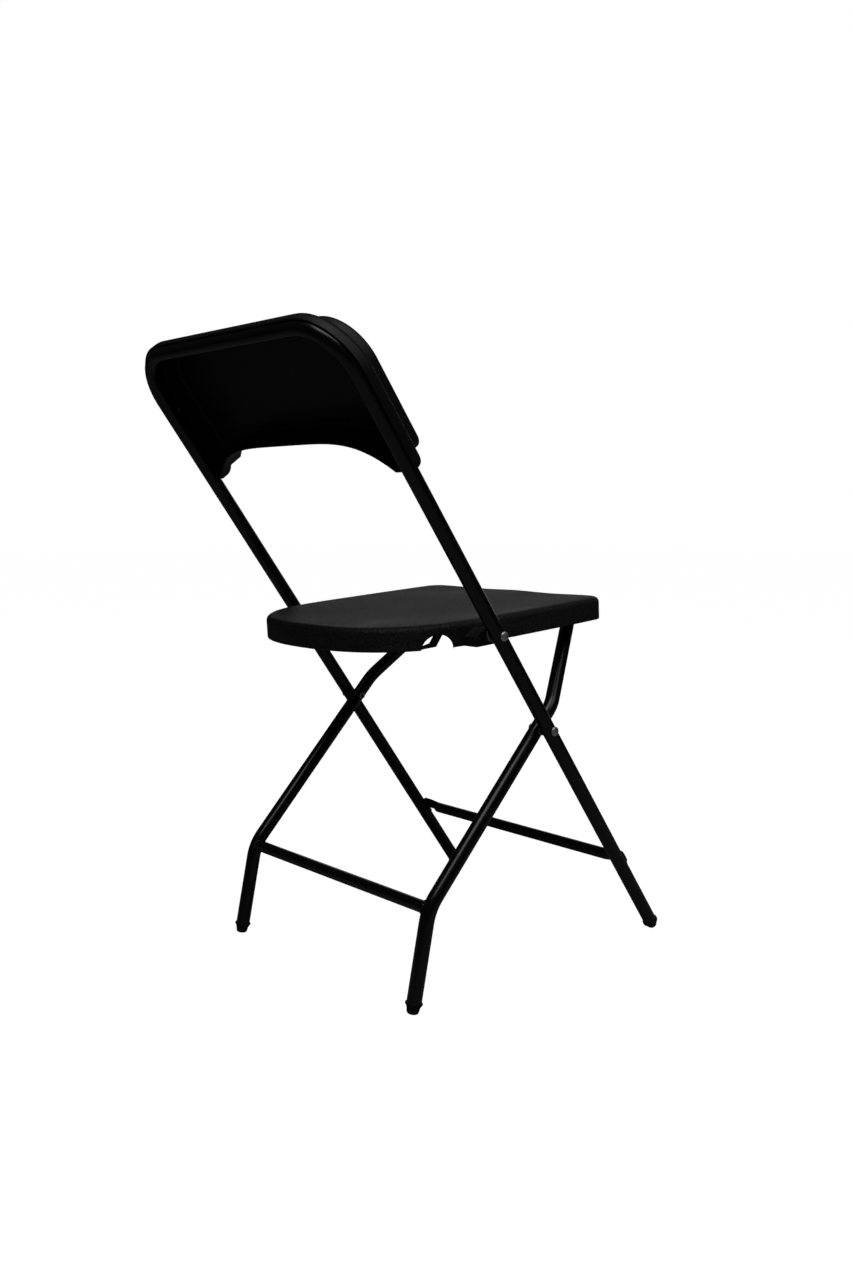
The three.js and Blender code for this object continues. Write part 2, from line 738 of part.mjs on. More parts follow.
// The layers are rounded below as well as above, so they start lower and the skirt is cut off level.
function seatPan() {
  const spare = 2 * seatEdgeRadius;
  const below = -skirtBelowPivot - spare;
  const outer = seatLayer(0, below, seatTopAbovePivot, seatEdgeRadius);
  const inner = seatLayer(panWall, below - spare, underTop, seatEdgeRadius - panWall);
  const trim = box(4 * seatHalfWidth, 4 * seatFront, 2 * spare, 0, 0, below);
  const top = seatLayer(runPast, below, seatTopAbovePivot - runPast, seatEdgeRadius);
  let body = outer.subtract(inner).subtract(trim);
  for (const rib of seatRibs()) {
    body = body.add(rib.intersect(top));
  }
  for (const side of [-1, 1]) {
    for (const pad of trackPads(side)) {
      body = body.add(pad);
    }
    body = body.add(pivotBlock(side)).subtract(skirtNotch(side));
    const bore = rivetRadius + rivetClearance + bushWall + gap;
    const reach = [side * (pivotBlockInner - runPast), side * (blockFace + runPast)];
    body = body.subtract(barAlongX(bore, ...reach, 0, 0));
    for (const end of ['front', 'rear']) {
      body = body.subtract(screwHole(side, end));
    }
  }
  return solid(geometryOf(body).applyMatrix4(seatBasis));
}

function screwPlace(side, end) {
  const y = end === 'front' ? trackFront + trackScrewInset : trackRear - trackScrewInset;
  return new THREE.Vector3(side * (rollerOffset - padOffset), y, trackBottom);
}

function screwHole(side, end) {
  const at = screwPlace(side, end);
  const radius = screwRadius + gap;
  const shape = new THREE.CylinderGeometry(radius, radius, screwHoleDepth, 12).rotateX(Math.PI / 2);
  return solid(shape.translate(at.x, at.y, at.z + screwHoleDepth / 2 - runPast));
}

// A steel strip folded into a shallow upside-down channel with a flange along each side.
function guideTrack(side) {
  const length = trackRear - trackFront;
  const middle = (trackRear + trackFront) / 2;
  const lip = barRadius + 2 * gap - barBelowPivot;
  const flangeHalf = trackOuterHalf + trackFlange;
  const webZ = (trackBottom + trackTop) / 2;
  let body = box(2 * flangeHalf, length, trackSheet, side * rollerOffset, middle, webZ);
  for (const edge of [-1, 1]) {
    const x = side * rollerOffset + edge * (trackInnerHalf + trackSheet / 2);
    body = body.add(box(trackSheet, length, trackTop - lip, x, middle, (trackTop + lip) / 2));
  }
  for (const end of ['front', 'rear']) {
    body = body.subtract(screwHole(side, end));
  }
  return solid(geometryOf(body).applyMatrix4(seatBasis));
}

function trackScrew(side, end) {
  const at = screwPlace(side, end);
  const headTop = -gap - screwHeadHeight;
  const profile = [
    [0, headTop],
    [screwHeadRadius - screwHeadChamfer, headTop],
    [screwHeadRadius, headTop + screwHeadChamfer],
    [screwHeadRadius, -gap],
    [screwRadius, -gap],
    [screwRadius, screwLength - screwPoint],
    [0, screwLength],
  ];
  const shape = turned(profile, 12).translate(at.x, at.y, at.z);
  return solid(shape.applyMatrix4(seatBasis));
}

// ---------------------------------------------------------------- assembly

const chair = new THREE.Group();
const layout = new THREE.Group();
chair.add(layout);

function place(name, body, material) {
  const mesh = new THREE.Mesh(geometryOf(body), material);
  mesh.name = name;
  layout.add(mesh);
}

place('front_frame', frontFrame(), powderCoat);
place('front_stretcher', frontStretcher(), powderCoat);
place('backrest_shell', backrestShell(), blackPlastic);
place('seat_pan', seatPan(), blackPlastic);
place('rear_stretcher', rearStretcher(), powderCoat);
place('slide_bar', slideBar(), zincSteel);

for (const [name, side] of [['right', -1], ['left', 1]]) {
  place(`front_foot_${name}`, frontFoot(side), rubber);
  place(`backrest_rivet_${name}`, backrestRivet(side), zincSteel);
  place(`seat_pivot_rivet_${name}`, seatPivotRivet(side), zincSteel);
  place(`seat_pivot_washer_${name}`, seatPivotWasher(side), zincSteel);
  place(`seat_pivot_bush_${name}`, seatPivotBush(side), zincSteel);
  place(`leg_pivot_rivet_${name}`, legPivotRivet(side), zincSteel);
  place(`leg_pivot_washer_${name}`, legPivotWasher(side), zincSteel);
  place(`guide_track_${name}`, guideTrack(side), zincSteel);
  place(`track_screw_front_${name}`, trackScrew(side, 'front'), zincSteel);
  place(`track_screw_rear_${name}`, trackScrew(side, 'rear'), zincSteel);
  place(`rear_leg_${name}`, rearLeg(side), powderCoat);
  place(`rear_foot_${name}`, rearFoot(side), rubber);
  place(`slide_roller_${name}`, slideRoller(side), nylon);
}

// The origin goes to the floor under the middle of the bounding box.
const bounds = new THREE.Box3().setFromObject(layout);
layout.position.y = -(bounds.min.y + bounds.max.y) / 2;

chair.userData = {
  seatPivot: seatPivot.clone().add(layout.position).toArray(),
  legPivot: legPivot.clone().add(layout.position).toArray(),
  seatFold: seatFold / degree,
  legFold: legFold / degree,
};

export default chair;
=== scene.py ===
import json
import math

import bpy
import numpy as np
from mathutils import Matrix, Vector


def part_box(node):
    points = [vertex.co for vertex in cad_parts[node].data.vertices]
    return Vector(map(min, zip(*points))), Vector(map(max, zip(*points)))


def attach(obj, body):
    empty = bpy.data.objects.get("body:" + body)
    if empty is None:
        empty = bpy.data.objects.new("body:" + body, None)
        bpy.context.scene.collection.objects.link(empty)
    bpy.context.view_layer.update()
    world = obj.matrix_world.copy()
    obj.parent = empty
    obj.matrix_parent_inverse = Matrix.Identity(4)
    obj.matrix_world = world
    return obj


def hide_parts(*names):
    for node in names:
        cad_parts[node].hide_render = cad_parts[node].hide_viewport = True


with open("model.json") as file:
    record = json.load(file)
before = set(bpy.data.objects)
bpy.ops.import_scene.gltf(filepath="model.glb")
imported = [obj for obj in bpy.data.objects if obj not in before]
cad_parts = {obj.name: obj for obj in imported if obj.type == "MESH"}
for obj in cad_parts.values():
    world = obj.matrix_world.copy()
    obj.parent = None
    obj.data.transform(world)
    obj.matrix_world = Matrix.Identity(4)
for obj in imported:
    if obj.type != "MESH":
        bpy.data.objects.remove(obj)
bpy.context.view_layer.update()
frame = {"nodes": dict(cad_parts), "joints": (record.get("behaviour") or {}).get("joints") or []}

pivots = {joint["name"]: np.array(joint["pos_m"], float) for joint in frame["joints"]}

# ---------------------------------------------------------------- the view
# The chair is seen from behind its right side, a little above the seat, through a normal lens.

camera = bpy.data.objects.new("camera", bpy.data.cameras.new("camera"))
camera.data.sensor_width = 36
camera.data.lens = 32.33
camera.data.clip_end = 60
camera.location = (-1.15443, 1.03047, 0.59607)
camera.rotation_euler = (math.radians(83.506), math.radians(-0.049), math.radians(-132.66))
bpy.context.scene.collection.objects.link(camera)
bpy.context.scene.camera = camera

# ---------------------------------------------------------------- the studio
# A pale matt floor and a white backdrop, and three large soft lights: one almost overhead, which
# draws the lines along the tubes, one high at its side, and a low wall of light beyond it, which greys
# the top of the seat.

bpy.context.scene.view_settings.view_transform = "Standard"


class Value:
    """A socket of a finish. Arithmetic on it adds Math nodes, with the number on either side."""

    def __init__(self, finish, socket):
        self.finish = finish
        self.socket = socket

    def maths(self, operation, first, second):
        return self.finish.node("ShaderNodeMath", {"operation": operation}, {0: first, 1: second})

    def __add__(self, other):
        return self.maths("ADD", self, other)

    def __sub__(self, other):
        return self.maths("SUBTRACT", self, other)

    def __rsub__(self, other):
        return self.maths("SUBTRACT", other, self)

    def __mul__(self, other):
        return self.maths("MULTIPLY", self, other)

    __radd__ = __add__
    __rmul__ = __mul__


class Finish:
    """A surface's material: one Principled shader with its fixed settings, and nodes added one by one."""

    def __init__(self, name, **fixed):
        self.material = bpy.data.materials.new(name)
        self.material.use_nodes = True
        self.shader = self.material.node_tree.nodes["Principled BSDF"]
        for socket, value in fixed.items():
            self.shader.inputs[socket.replace("_", " ")].default_value = value
        self.place = self.node("ShaderNodeTexCoord", {}, {}, "Object")

    def node(self, kind, settings, inputs, output=0):
        """Adds one node: its settings first, then the values or links of its sockets."""
        node = self.material.node_tree.nodes.new(kind)
        for key, value in settings.items():
            setattr(node, key, value)
        for socket, value in inputs.items():
            self.feed(node.inputs[socket], value)
        return Value(self, node.outputs[output])

    def feed(self, socket, value):
        if isinstance(value, Value):
            self.material.node_tree.links.new(value.socket, socket)
        else:
            socket.default_value = value

    def noise(self, scale, detail=2.0, place=None):
        """Cloudy noise from 0 to 1, with this many clouds to the metre."""
        inputs = {"Vector": place or self.place, "Scale": scale, "Detail": detail}
        return self.node("ShaderNodeTexNoise", {}, inputs, 0)

    def spread(self, value, low, high, to_low=0.0, to_high=1.0):
        """The stretch from low to high of a value, laid out from to_low to to_high and held there."""
        inputs = {0: value, 1: low, 2: high, 3: to_low, 4: to_high}
        return self.node("ShaderNodeMapRange", {"interpolation_type": "SMOOTHSTEP"}, inputs)

    def blend(self, share, first, second):
        """From the first colour to the second by this share."""
        inputs = {0: share, 6: (*first, 1), 7: (*second, 1)}
        return self.node("ShaderNodeMix", {"data_type": "RGBA"}, inputs, 2)

    def stretched(self, scale):
        """Object coordinates scaled along each axis, for marks that run one way."""
        return self.node("ShaderNodeMapping", {}, {"Vector": self.place, "Scale": scale})

    def finish(self, colour, roughness, height, depth):
        """Joins colour, roughness and a relief of this depth in metres to the shader."""
        self.feed(self.shader.inputs["Base Color"], colour)
        self.feed(self.shader.inputs["Roughness"], roughness)
        relief = self.node("ShaderNodeBump", {}, {"Height": height, "Distance": depth, "Strength": 1.0})
        self.feed(self.shader.inputs["Normal"], relief)
        return self.material


floor_paint = Finish("floor_paint", Specular_IOR_Level=0.1, Emission_Strength=1.0)
floor_cloud = floor_paint.noise(3.0)
floor_paint.finish(
    floor_paint.blend(floor_cloud, (0.30, 0.30, 0.30), (0.33, 0.33, 0.33)),
    0.7 + 0.1 * floor_cloud,
    floor_paint.noise(180.0),
    0.0001,
)
overexposed = 0.99 * floor_paint.node("ShaderNodeLightPath", {}, {}, "Is Camera Ray")
floor_paint.feed(floor_paint.shader.inputs["Emission Color"], overexposed)

reach = 14.0
floor_mesh = bpy.data.meshes.new("floor")
floor_corners = [(-reach, -reach, 0), (reach, -reach, 0), (reach, reach, 0), (-reach, reach, 0)]
floor_mesh.from_pydata(floor_corners, [], [(0, 1, 2, 3)])
floor = bpy.data.objects.new("floor", floor_mesh)
floor_mesh.materials.append(floor_paint.material)
bpy.context.scene.collection.objects.link(floor)

world = bpy.data.worlds.new("studio")
bpy.context.scene.world = world
world.use_nodes = True
room = world.node_tree.nodes["Background"]
seen = world.node_tree.nodes.new("ShaderNodeLightPath")
brightness = world.node_tree.nodes.new("ShaderNodeMapRange")
brightness.inputs["To Min"].default_value = 0.012
brightness.inputs["To Max"].default_value = 1.0
world.node_tree.links.new(seen.outputs["Is Camera Ray"], brightness.inputs["Value"])
world.node_tree.links.new(brightness.outputs[0], room.inputs["Strength"])
room.inputs["Color"].default_value = (1, 1, 1, 1)

for name, place, aim, size, power in (
    ("light_overhead", (-0.6, 0.8, 2.5), (0, 0, 0.4), (1.5, 1.5), 11.0),
    ("light_side", (-1.4, -0.4, 2.1), (0, 0, 0.5), (1.1, 1.1), 3.0),
    ("light_beyond", (2.2, -2.8, 1.0), (0, 0, 0.45), (3.2, 1.8), 6.5),
):
    lamp = bpy.data.lights.new(name, "AREA")
    lamp.shape = "RECTANGLE"
    lamp.size, lamp.size_y = size
    lamp.energy = power
    light = bpy.data.objects.new(name, lamp)
    away = np.array(place) - np.array(aim)
    turn = math.atan2(away[0], -away[1])
    drop = math.atan2(math.hypot(away[0], away[1]), away[2])
    light.location = place
    light.rotation_euler = (drop, 0, turn)
    light.visible_camera = False
    bpy.context.scene.collection.objects.link(light)

# ---------------------------------------------------------------- the front frame
# One round steel tube bent into a tall loop that leans back and stands on its two ends. It is powder
# coated black: a smooth satin skin with a faint orange peel, and dull scuffs where it has been handled.

powder_coat = Finish("powder_coat", Specular_IOR_Level=0.55, Coat_Weight=0.25, Coat_Roughness=0.12)
peel = powder_coat.noise(620.0, 1.0) * 0.7 + powder_coat.noise(170.0, 1.0) * 0.6
handled = powder_coat.spread(powder_coat.noise(24.0, 3.0), 0.55, 0.72)
scuffs = powder_coat.spread(powder_coat.noise(1.0, 4.0, powder_coat.stretched((900, 260, 260))), 0.62, 0.72)
marks = handled * scuffs
powder_coat.finish(
    powder_coat.blend(marks, (0.0050, 0.0051, 0.0054), (0.022, 0.022, 0.023)),
    powder_coat.noise(60.0) * 0.08 + (0.2 + 0.22 * marks),
    peel + marks * -0.4,
    0.000035,
)

lean = math.radians(36.28)
foot_line = pivots["seat_fold"][1] - pivots["seat_fold"][2] * math.tan(lean)


def on_slope(across, along, ahead):
    """Points of the leaning plane: across, up the slope from the floor, and ahead of the tubes' centres."""
    across, along, ahead = np.broadcast_arrays(across, along, ahead)
    y = foot_line + along * math.sin(lean) - ahead * math.cos(lean)
    return np.stack([across, y, along * math.cos(lean) + ahead * math.sin(lean)], -1)


def bent_path(corners, radii, spacing=0.014, turn_step=math.radians(3.5)):
    """A tube's centre line and its directions: straight runs, and at each corner an arc that touches both."""
    corners = np.asarray(corners, float)
    headings = np.diff(corners, axis=0)
    headings = headings / np.linalg.norm(headings, axis=1)[:, None]
    points, directions, start = [], [], corners[0]
    for corner, radius, before, after in zip(corners[1:-1], radii, headings[:-1], headings[1:]):
        turn = math.acos(before @ after)
        begin = corner - before * radius * math.tan(turn / 2)
        steps = max(3, int(np.linalg.norm(begin - start) / spacing))
        points.append(start + (begin - start) * np.linspace(0, 1, steps, endpoint=False)[:, None])
        directions.append(np.repeat(before[None], steps, 0))
        inward = after - before * (before @ after)
        inward = inward / np.linalg.norm(inward)
        angle = np.linspace(0, turn, max(4, int(turn / turn_step)), endpoint=False)[:, None]
        points.append(begin + radius * (before * np.sin(angle) + inward * (1 - np.cos(angle))))
        directions.append(before * np.cos(angle) + inward * np.sin(angle))
        start = corner + after * radius * math.tan(turn / 2)
    steps = max(3, int(np.linalg.norm(corners[-1] - start) / spacing))
    points.append(start + (corners[-1] - start) * np.linspace(0, 1, steps)[:, None])
    directions.append(np.repeat(headings[-1][None], steps, 0))
    return np.concatenate(points), np.concatenate(directions)


def carried(points, directions, side, profile):
    """A closed profile of (side, other) offsets carried along a path, square to it at each point."""
    other = np.cross(directions, side)
    other = other / np.linalg.norm(other, axis=1)[:, None]
    first = np.cross(other, directions)
    profile = np.broadcast_to(profile, (len(points), *profile.shape[-2:]))
    return points[:, None] + profile[..., :1] * first[:, None] + profile[..., 1:] * other[:, None]


def ring(radius, sides=40):
    """A circle of (cos, sin) offsets; radius is one number, or one for each point of a path."""
    angle = np.linspace(0, 2 * math.pi, sides, endpoint=False)
    return np.asarray(radius, float)[..., None, None] * np.stack([np.cos(angle), np.sin(angle)], -1)


def pipe(points, directions, side, outer, wall, sides=40):
    """An open-ended tube: the outer skin along the path, and the bore back to where it began."""
    outside = carried(points, directions, side, ring(outer, sides))
    bore = carried(points, directions, side, ring(outer - wall, sides))
    return np.concatenate([outside, bore[::-1]]), True


def make_piece(name, skins, material, body, nodes):
    """Joins closed skins into one mesh that rides on a body and stands for CAD nodes.
    A skin is a grid whose columns run round. Its rows run in a loop, or end in a point at each end.
    The sign of its volume says which way its faces point, and they are turned to point outwards."""
    points, faces, first = [], [], 0
    for grid, loop in skins:
        rows, columns = grid.shape[:2]
        corners = grid.reshape(-1, 3)
        row = np.arange(rows if loop else rows - 1)[:, None]
        column = np.arange(columns)[None]
        next_row, next_column = (row + 1) % rows, (column + 1) % columns
        quads = np.stack(
            [row * columns + column, row * columns + next_column,
             next_row * columns + next_column, next_row * columns + column], -1).reshape(-1, 4)
        fans = np.zeros((0, 3), int)
        if not loop:
            here, ahead_of = np.arange(columns), (np.arange(columns) + 1) % columns
            last = (rows - 1) * columns
            corners = np.vstack([corners, grid[0].mean(0), grid[-1].mean(0)])
            start_point = np.full(columns, rows * columns)
            fans = np.vstack([
                np.stack([start_point, ahead_of, here], -1),
                np.stack([start_point + 1, last + here, last + ahead_of], -1)])
        triangles = np.vstack([quads[:, :3], quads[:, [0, 2, 3]], fans])
        a, b, c = (corners[triangles[:, i]] for i in range(3))
        if (a * np.cross(b, c)).sum() < 0:
            quads, fans = quads[:, ::-1], fans[:, ::-1]
        points.append(corners)
        faces += (quads + first).tolist() + (fans + first).tolist()
        first += len(corners)
    mesh = bpy.data.meshes.new(name)
    mesh.from_pydata(np.concatenate(points).tolist(), [], faces)
    mesh.polygons.foreach_set("use_smooth", np.ones(len(mesh.polygons), bool))
    mesh.set_sharp_from_angle(angle=math.radians(38))
    mesh.materials.append(material)
    piece = bpy.data.objects.new(name, mesh)
    bpy.context.scene.collection.objects.link(piece)
    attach(piece, body)
    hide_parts(*nodes)


tube_radius = 0.00935
tube_wall = 0.0012
frame_half_width = 0.2012
frame_length = 0.9765
frame_tube_end = 0.0158
slope_out = np.array([0, -math.cos(lean), math.sin(lean)])
slope_up = np.array([0, math.sin(lean), math.cos(lean)])

frame_path = bent_path(
    on_slope(
        np.array([-1, -1, 1, 1]) * frame_half_width,
        np.array([frame_tube_end, frame_length, frame_length, frame_tube_end]),
        0.0),
    [0.065, 0.065])
make_piece(
    "frame_tube", [pipe(*frame_path, slope_out, tube_radius, tube_wall, 48)],
    powder_coat.material, "frame", ["front_frame"])

# ---------------------------------------------------------------- the front stretcher
# A thinner tube between the front legs. Its ends are pressed flat in a vice-like die, laid against
# the front of the legs and welded along both edges.

stretcher_radius = 0.0078
stretcher_along = 0.137


def eased(value):
    """Zero below 0, one above 1, and level at both."""
    value = np.clip(value, 0, 1)
    return value * value * (3 - 2 * value)


def weld_bead(points, radius, ripples):
    """A closed bead along a loop of points, thicker and thinner in turn as the welder's steps leave it."""
    directions = np.roll(points, -1, 0) - np.roll(points, 1, 0)
    directions = directions / np.linalg.norm(directions, axis=1)[:, None]
    share = np.arange(len(points)) / len(points)
    size = radius * (1 + 0.12 * np.sin(2 * math.pi * ripples * share) + 0.06 * np.sin(2 * math.pi * 3 * share))
    middle = points.mean(0)
    side = points - middle
    side = side / np.linalg.norm(side, axis=1)[:, None]
    return carried(points, directions, side, ring(size, 10)), True


def flattened_bar():
    """A round bar across the chair whose section, from the flat's start to the end, widens up the slope,
    thins ahead and squares off; its last few millimetres draw in to a rounded end."""
    middle = np.linspace(-0.168, 0.168, 49)
    rounding = 0.2035 - 0.0035 * np.cos(np.linspace(0.3, 1.5, 7))
    tip = np.concatenate([np.linspace(0.1695, 0.200, 22), rounding])
    across = np.concatenate([-tip[::-1], middle, tip])
    flat = eased((np.abs(across) - 0.170) / 0.020)
    closing = np.clip((np.abs(across) - 0.2000) / 0.0036, 0, 1)
    round_off = np.sqrt(1 - 0.98 * closing ** 2)
    half_height = (stretcher_radius + 0.0031 * flat) * round_off
    half_depth = (stretcher_radius - 0.0054 * flat) * round_off
    power = 2 / (2 + 1.6 * flat)[:, None]
    angle = np.linspace(0, 2 * math.pi, 40, endpoint=False)
    cosine, sine = np.cos(angle), np.sin(angle)
    profile = np.stack([
        np.sign(cosine) * np.abs(cosine) ** power * half_height[:, None],
        np.sign(sine) * np.abs(sine) ** power * half_depth[:, None]], -1)
    ahead = 0.009 + 0.0033 * flat
    path = on_slope(across, stretcher_along, ahead)
    along_x = np.repeat(np.array([[1.0, 0, 0]]), len(path), 0)
    return carried(path, along_x, slope_up, profile), False


def tab_weld(side):
    """The bead round a pressed end: a rounded rectangle that follows the leg's round front."""
    angle = np.linspace(0, 2 * math.pi, 72, endpoint=False)
    across = 0.1975 + 0.0062 * np.sign(np.cos(angle)) * np.abs(np.cos(angle)) ** 0.6
    along = stretcher_along + 0.0112 * np.sign(np.sin(angle)) * np.abs(np.sin(angle)) ** 0.5
    ahead = np.sqrt(np.maximum(tube_radius ** 2 - (across - frame_half_width) ** 2, 0)) + 0.0004
    return weld_bead(on_slope(side * across, along, ahead), 0.0013, 26)


make_piece(
    "stretcher_front", [flattened_bar(), tab_weld(-1), tab_weld(1)],
    powder_coat.material, "frame", ["front_stretcher"])

# ---------------------------------------------------------------- the rear legs
# Two more tubes, riveted inside the uprights where they cross. Each has a bend low down, and above
# the pivot it turns inwards to go under the seat. A stretcher is welded between them at the bends.

leg_rake = math.radians(44.3)
lower_rake = math.radians(12.1)
leg_half_width = frame_half_width - 2 * tube_radius - 0.0011
leg_up = np.array([0, -math.sin(leg_rake), math.cos(leg_rake)])
lower_up = np.array([0, -math.sin(lower_rake), math.cos(lower_rake)])
leg_bend = pivots["leg_fold"] - 0.2715 * leg_up
bar_along_leg = 0.1916
knee_along_leg = 0.038
low_bend_radius = 0.060
knee_radius = 0.055
knee_inward = math.tan(math.radians(22))
bar_half_width = leg_half_width - (bar_along_leg - knee_along_leg) * knee_inward
tip_height = 0.0071
rear_tip = leg_bend - lower_up * (leg_bend[2] - tip_height) / math.cos(lower_rake)


def at_side(point, across):
    """A point of the middle plane moved out to this distance across."""
    return np.array([across, point[1], point[2]])


def leg_tube(side):
    """A rear leg from above its foot to just past the bar under the seat."""
    past_bar = bar_along_leg + 0.004
    corners = [
        at_side(rear_tip + lower_up * 0.0069, side * leg_half_width),
        at_side(leg_bend, side * leg_half_width),
        at_side(pivots["leg_fold"] + leg_up * knee_along_leg, side * leg_half_width),
        at_side(pivots["leg_fold"] + leg_up * past_bar, side * (bar_half_width - 0.004 * knee_inward))]
    path = bent_path(corners, [low_bend_radius, knee_radius])
    return pipe(*path, np.array([1.0, 0, 0]), tube_radius, tube_wall, 48)


def saddle_weld(side, centre, heading, radius):
    """The bead where a cross tube meets a leg: round the cross tube, at the depth of the leg's skin."""
    angle = np.linspace(0, 2 * math.pi, 90, endpoint=False)
    square = np.cross([1.0, 0, 0], heading)
    offset = radius * (np.cos(angle)[:, None] * square + np.sin(angle)[:, None] * heading)
    depth = np.sqrt(np.maximum(tube_radius ** 2 - (radius * np.cos(angle)) ** 2, 0))
    points = centre + offset
    points[:, 0] = side * (leg_half_width - depth - 0.0003)
    return weld_bead(points, 0.0017, 34)


def straight_bar(half_length, centre, radius, sides=40):
    """A round bar across the chair, with flat ends."""
    share = np.linspace(-1, 1, 41)
    points = np.stack([share * half_length, np.full(41, centre[1]), np.full(41, centre[2])], -1)
    directions = np.repeat(np.array([[1.0, 0, 0]]), 41, 0)
    return carried(points, directions, np.array([0, 0, 1.0]), ring(radius, sides)), False


bend_turn = leg_rake - lower_rake
bend_middle = (leg_up - lower_up) / np.linalg.norm(leg_up - lower_up)
bend_centre = leg_bend + bend_middle * low_bend_radius * (1 / math.cos(bend_turn / 2) - 1)
bend_heading = np.cross(bend_middle, [1.0, 0, 0])

for side, hand in ((-1, "right"), (1, "left")):
    make_piece(
        f"leg_tube_{hand}", [leg_tube(side)],
        powder_coat.material, "rear_legs", [f"rear_leg_{hand}"])
make_piece(
    "stretcher_rear",
    [straight_bar(leg_half_width - 0.003, bend_centre, stretcher_radius),
     saddle_weld(-1, bend_centre, bend_heading, stretcher_radius),
     saddle_weld(1, bend_centre, bend_heading, stretcher_radius)],
    powder_coat.material, "rear_legs", ["rear_stretcher"])

# ---------------------------------------------------------------- the feet
# Black rubber caps pushed into the tube ends: a thin flange as a stop, then a cone to a rounded tip
# that the floor has worn flat and dusty.

foot_rubber = Finish("foot_rubber", Specular_IOR_Level=0.35)
foot_height = foot_rubber.node("ShaderNodeSeparateXYZ", {}, {0: foot_rubber.place}, 2)
foot_dust = foot_rubber.spread(foot_height, 0.0, 0.009, 1.0, 0.0) * foot_rubber.noise(300.0, 4.0)
foot_rubber.finish(
    foot_rubber.blend(foot_dust, (0.012, 0.012, 0.012), (0.09, 0.088, 0.084)),
    0.55 + 0.25 * foot_rubber.noise(220.0),
    foot_rubber.noise(900.0, 3.0),
    0.00012,
)


def turned(profile, origin, axis, sides=40):
    """A profile of (radius, height) pairs turned about an axis through the origin."""
    profile = np.asarray(profile, float)
    axis = np.asarray(axis, float)
    points = np.asarray(origin, float) + profile[:, 1:] * axis
    side = np.cross(axis, [0.3, 0.5, 0.81] if abs(axis[0]) > 0.5 else [1.0, 0, 0])
    directions = np.repeat(axis[None], len(profile), 0)
    return carried(points, directions, side / np.linalg.norm(side), ring(profile[:, 0], sides))


def arc(centre, radius, start, end, steps):
    """Points of an arc in a profile, from one angle in degrees to another."""
    angle = np.radians(np.linspace(start, end, steps))
    return [(centre[0] + radius * c, centre[1] + radius * s) for c, s in zip(np.cos(angle), np.sin(angle))]


def foot_cap(tip, axis, corner):
    """A cap turned about the leg's line, its tip's corner rounded by this much, and flat on the floor."""
    profile = [
        (0.0006, -0.0078), *arc((0.0075 - corner, corner - 0.0078), corner, -90, -14, 8),
        (0.0084, 0.0002), (0.0096, 0.0028), *arc((0.0103, 0.0043), 0.0005, -60, 0, 4),
        *arc((0.0101, 0.0059), 0.0007, 0, 90, 5), (0.0090, 0.0068), (0.0010, 0.0068)]
    skin = turned(profile, tip, axis, 48)
    skin[..., 2] = np.maximum(skin[..., 2], 0.0)
    return skin, False


for side, hand in ((-1, "right"), (1, "left")):
    front_tip = on_slope(side * frame_half_width, tip_height / math.cos(lean), 0.0)
    make_piece(
        f"foot_front_{hand}", [foot_cap(front_tip, slope_up, 0.0070)],
        foot_rubber.material, "frame", [f"front_foot_{hand}"])
    make_piece(
        f"foot_rear_{hand}", [foot_cap(at_side(rear_tip, side * leg_half_width), lower_up, 0.0036)],
        foot_rubber.material, "rear_legs", [f"rear_foot_{hand}"])

# ---------------------------------------------------------------- the seat
# One moulding of black plastic with a fine pebble grain: a dished top with two shallow channels for
# the thighs, a rounded edge, and a skirt with a half-round notch on each side for the folded legs.

seat_plastic = Finish("seat_plastic", Specular_IOR_Level=0.5)
pebbles = seat_plastic.node(
    "ShaderNodeTexVoronoi", {"feature": "SMOOTH_F1"},
    {"Vector": seat_plastic.place, "Scale": 380.0, "Smoothness": 0.35, "Randomness": 1.0}, "Distance")
patches = seat_plastic.noise(16.0, 3.0)
fine = seat_plastic.noise(1500.0, 2.0)
rubbed = seat_plastic.spread(seat_plastic.noise(9.0, 4.0), 0.5, 0.75)
seat_plastic.finish(
    seat_plastic.blend(
        seat_plastic.spread(pebbles, 0.2, 0.6) * 0.75 + rubbed * 0.15,
        (0.0025, 0.0025, 0.0026), (0.034, 0.034, 0.0343)),
    0.43 + 0.12 * patches - 0.06 * rubbed,
    (1.0 - pebbles) * 0.9 + fine * 0.3,
    0.0010,
)

seat_tilt = math.radians(3.7)
seat_half_width = 0.1732
seat_front_half_width = 0.1705
seat_front = 0.25384
seat_front_corner = 0.027
seat_rear = 0.1443
seat_widest = 0.090
seat_top = 0.0195
seat_edge = 0.008
pan_wall = 0.003
skirt_foot = -0.0116
notch_at = 0.0605
notch_radius = 0.0195
notch_centre = skirt_foot - 0.0019
side_power = 2.275
bow_points = 34
bow_depth = 0.010


def on_seat(across, behind, above):
    """Points of the tilted seat's own frame: across, behind the pivot, and above it."""
    pivot = pivots["seat_fold"]
    across, behind, above = np.broadcast_arrays(across, behind, above)
    y = pivot[1] + behind * math.cos(seat_tilt) + above * math.sin(seat_tilt)
    return np.stack([across, y, pivot[2] - behind * math.sin(seat_tilt) + above * math.cos(seat_tilt)], -1)


